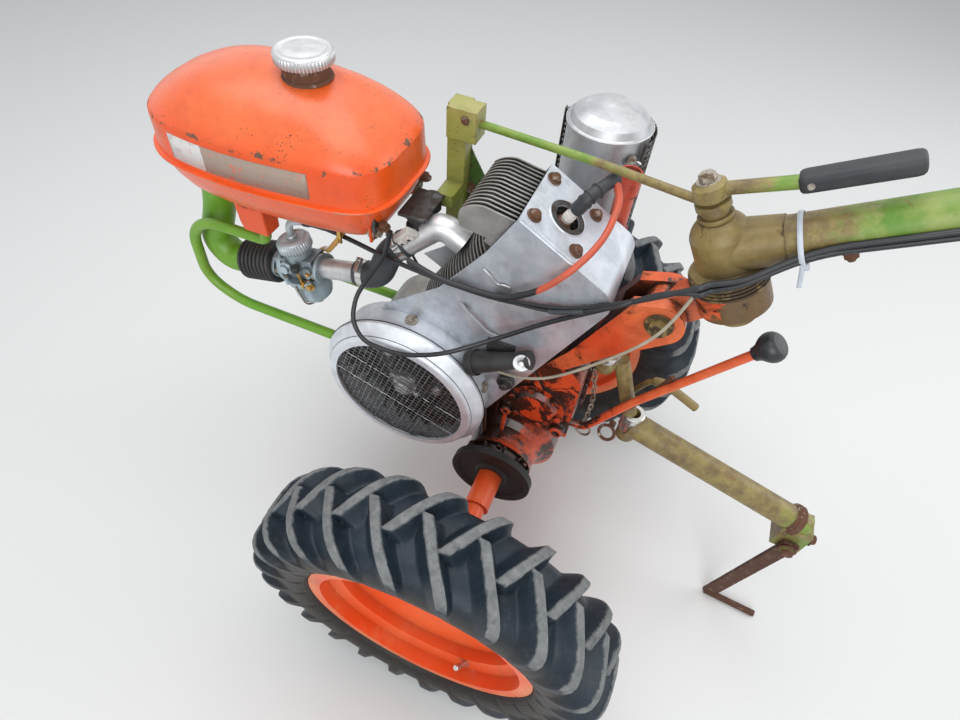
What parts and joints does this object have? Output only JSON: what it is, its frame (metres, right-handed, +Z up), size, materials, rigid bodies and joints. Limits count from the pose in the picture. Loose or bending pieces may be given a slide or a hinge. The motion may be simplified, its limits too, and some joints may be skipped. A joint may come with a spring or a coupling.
{
  "type": "walking tractor",
  "caption": "Two-wheeled walking tractor: fan-cooled engine ahead of the axle, fuel tank on a frame, swinging handlebar, drawbar and prop leg.",
  "frame": {"origin": "on the floor, under the middle of the wheel axle", "axes": "+X forward, away from the handlebar; +Y to the tractor's left; +Z up"},
  "size_m": [1.4496, 0.726, 0.9889],
  "materials": {
    "tyre": "matt",
    "rim_orange": "worn paint",
    "axle_orange": "worn paint",
    "disc_rubber": "matt",
    "case_orange": "worn paint",
    "cover_orange": "worn paint",
    "engine_alloy": "cast",
    "barrel_iron": "cast",
    "shroud_silver": "silver paint",
    "fan_alloy": "cast",
    "grille_wire": "worn",
    "plug_steel": "rusty",
    "coil_black": "matt",
    "lead_red": "matt",
    "duct_green": "worn paint",
    "bellows_black": "matt",
    "carb_alloy": "cast",
    "pipe_alloy": "satin",
    "hose_grey": "matt",
    "tank_orange": "worn paint",
    "cap_alloy": "worn",
    "frame_green": "worn paint",
    "tower_red": "worn paint",
    "muffler_silver": "silver paint",
    "guard_dark": "sooty",
    "bracket_orange": "worn paint",
    "column_orange": "worn paint",
    "elbow_olive": "worn paint",
    "tube_green": "worn paint",
    "grip_rubber": "matt",
    "rod_brown": "rusty",
    "lever_orange": "worn paint",
    "knob_black": "gloss",
    "drawbar_brown": "worn paint"
  },
  "bodies": {
    "chassis": {"air_duct": "duct_green", "axle_housing": "case_orange", "bellows": "bellows_black", "carburettor": "carb_alloy", "column_bracket": "bracket_orange", "column_knuckle": "column_orange", "control_rod": "frame_green", "cooling_shroud": "shroud_silver", "crankcase": "engine_alloy", "cylinder_barrel": "barrel_iron", "cylinder_head": "engine_alloy", "drawbar": "drawbar_brown", "exhaust_pipe": "guard_dark", "fan_grille": "grille_wire", "fan_housing": "shroud_silver", "frame_post": "frame_green", "front_cables": "grip_rubber", "fuel_cap": "cap_alloy", "fuel_tank": "tank_orange", "gear_knob": "knob_black", "gear_lever": "lever_orange", "gearbox": "case_orange", "gearbox_covers": "cover_orange", "guard_hoop": "frame_green", "hitch_pin": "rod_brown", "ignition_coil": "coil_black", "ignition_lead": "lead_red", "intake_flange": "carb_alloy", "intake_hose": "hose_grey", "intake_pipe": "pipe_alloy", "muffler": "muffler_silver", "muffler_guard": "guard_dark", "selector_tower": "tower_red", "spark_plug": "plug_steel", "tank_feet": "case_orange"},
    "wheel_left": {"tyre_left": "tyre", "rim_left": "rim_orange", "axle_stub_left": "axle_orange", "dust_disc_left": "disc_rubber"},
    "wheel_right": {"tyre_right": "tyre", "rim_right": "rim_orange", "axle_stub_right": "axle_orange", "dust_disc_right": "disc_rubber"},
    "fan": {"fan_rotor": "fan_alloy"},
    "handlebar": {"handlebar_elbow": "elbow_olive", "handlebar_tube": "tube_green", "handle_bar": "tube_green", "grips": "grip_rubber", "lock_lever": "frame_green", "lock_lever_grip": "grip_rubber", "hand_levers": "grip_rubber", "rear_cables": "grip_rubber"},
    "prop_leg": {"prop_leg": "drawbar_brown"}
  },
  "joints": [
    {"name": "wheel_left_spin", "type": "hinge", "parent": "chassis", "child": "wheel_left", "pos_m": [0, 0.33, 0.262], "axis": [0, 1, 0], "continuous": true},
    {"name": "wheel_right_spin", "type": "hinge", "parent": "chassis", "child": "wheel_right", "pos_m": [0, -0.27, 0.262], "axis": [0, 1, 0], "continuous": true},
    {"name": "fan_spin", "type": "hinge", "parent": "chassis", "child": "fan", "pos_m": [0.162, 0.07, 0.388], "axis": [0, 1, 0], "continuous": true},
    {"name": "handlebar_swing", "type": "hinge", "parent": "chassis", "child": "handlebar", "pos_m": [-0.187, 0, 0.732], "axis": [0.5, 0, 0.866], "range_deg": [-30, 30]},
    {"name": "prop_leg_fold", "type": "hinge", "parent": "chassis", "child": "prop_leg", "pos_m": [-0.467, 0.028, 0.258], "axis": [0, 1, 0], "range_deg": [-85, 0]}
  ]
}
